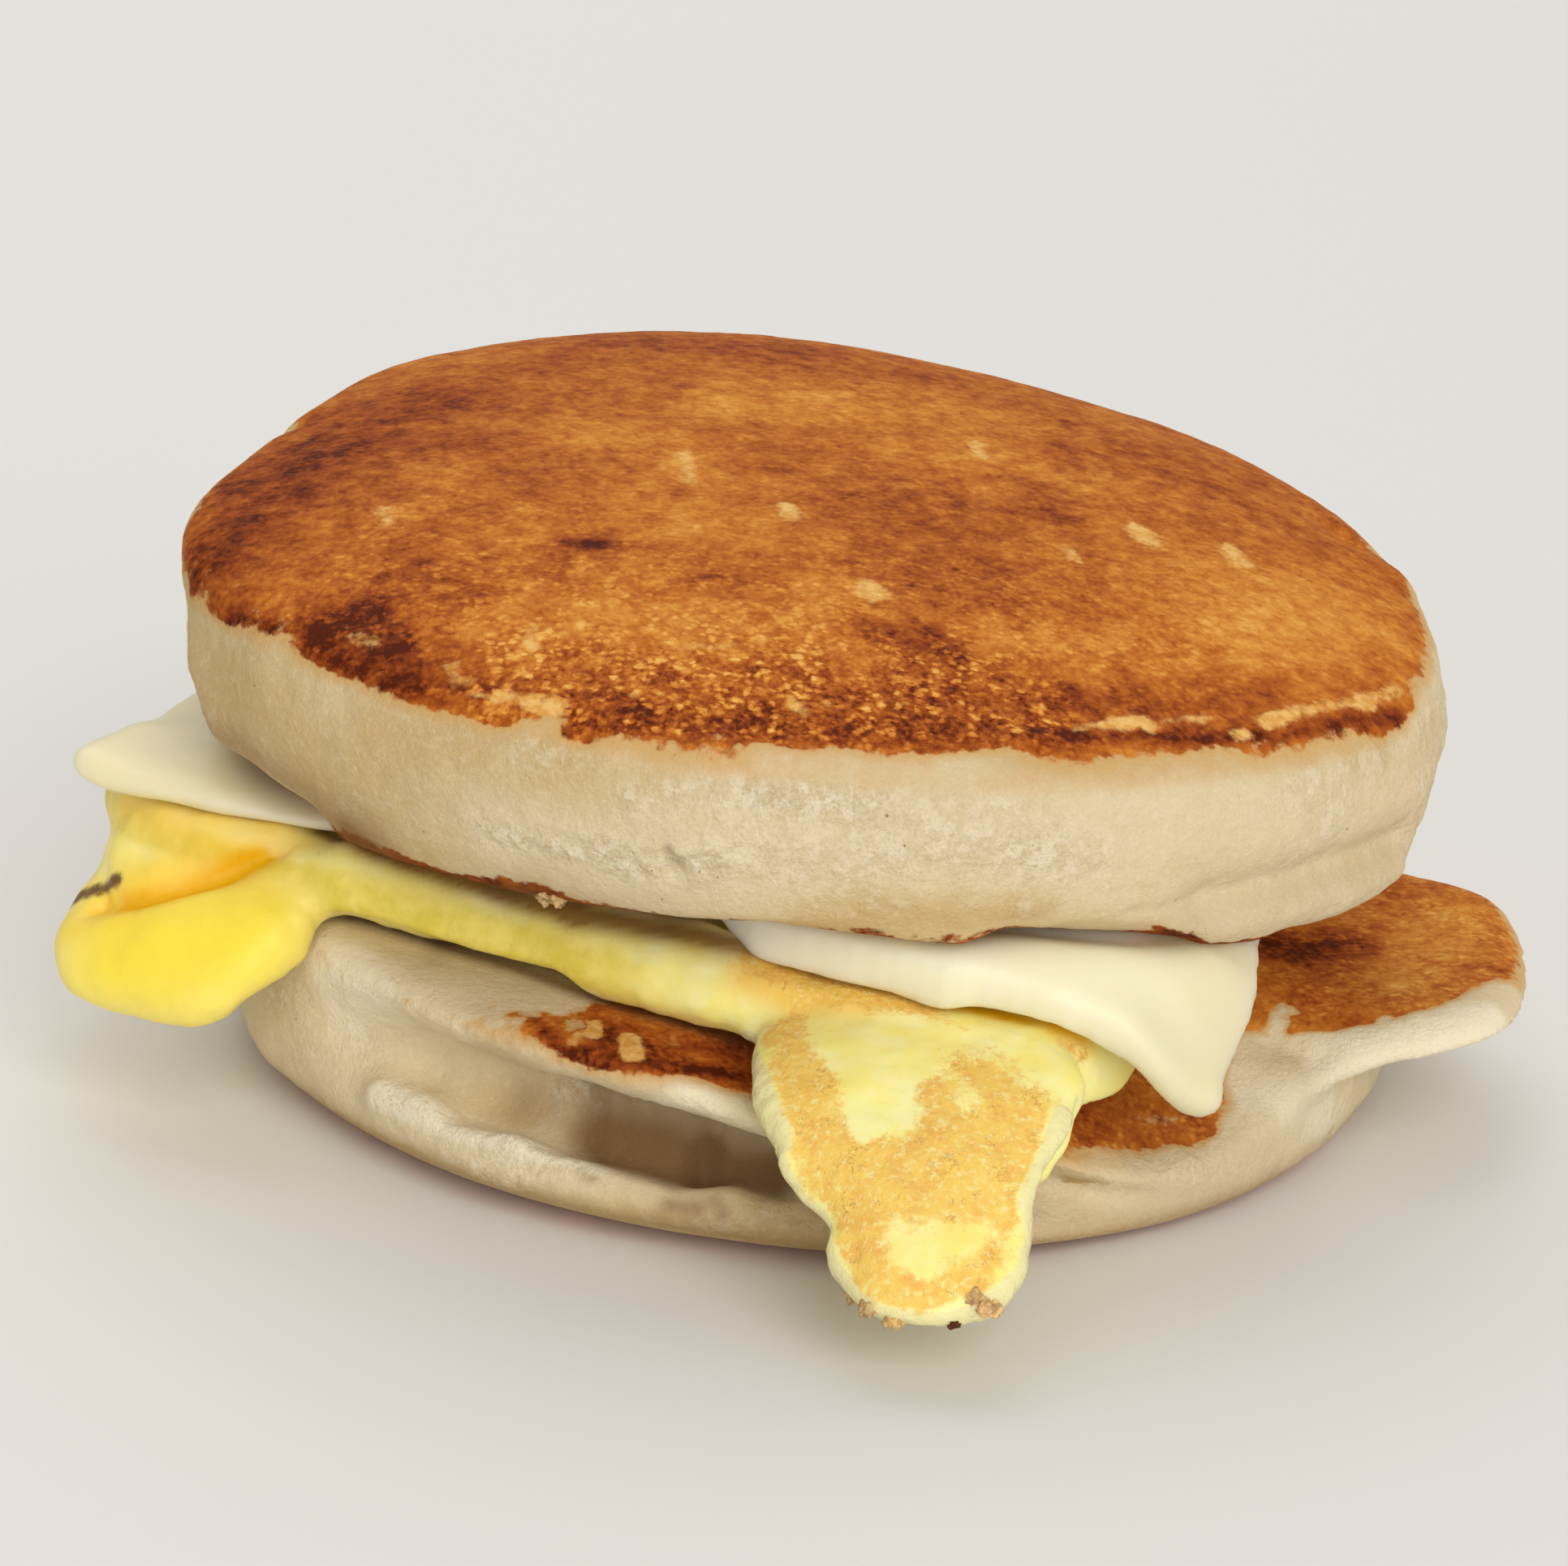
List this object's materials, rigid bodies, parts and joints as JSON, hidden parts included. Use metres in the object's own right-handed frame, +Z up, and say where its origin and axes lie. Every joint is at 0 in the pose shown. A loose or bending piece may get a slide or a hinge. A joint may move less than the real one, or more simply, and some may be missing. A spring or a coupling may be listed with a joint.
{
  "type": "breakfast sandwich",
  "caption": "Breakfast sandwich: thick browned griddle cakes round a folded egg and a cheese slice, with an egg flap hanging out in front.",
  "frame": {"origin": "middle of the lower cake's flat underside", "axes": "+Z up through the layers, -Y towards the front, where the egg's flap hangs out"},
  "size_m": [0.1095, 0.1181, 0.048],
  "materials": {
    "griddle_cake": "matte baked crumb, pale at the side and browned on the flat faces",
    "cooked_egg": "moist fried egg, yellow with browned patches",
    "cheese": "smooth softened cheese with a slight gloss"
  },
  "bodies": {
    "root": {"lower_cake": "griddle_cake", "folded_egg": "cooked_egg", "cheese_slice": "cheese", "upper_cake": "griddle_cake"}
  },
  "joints": []
}
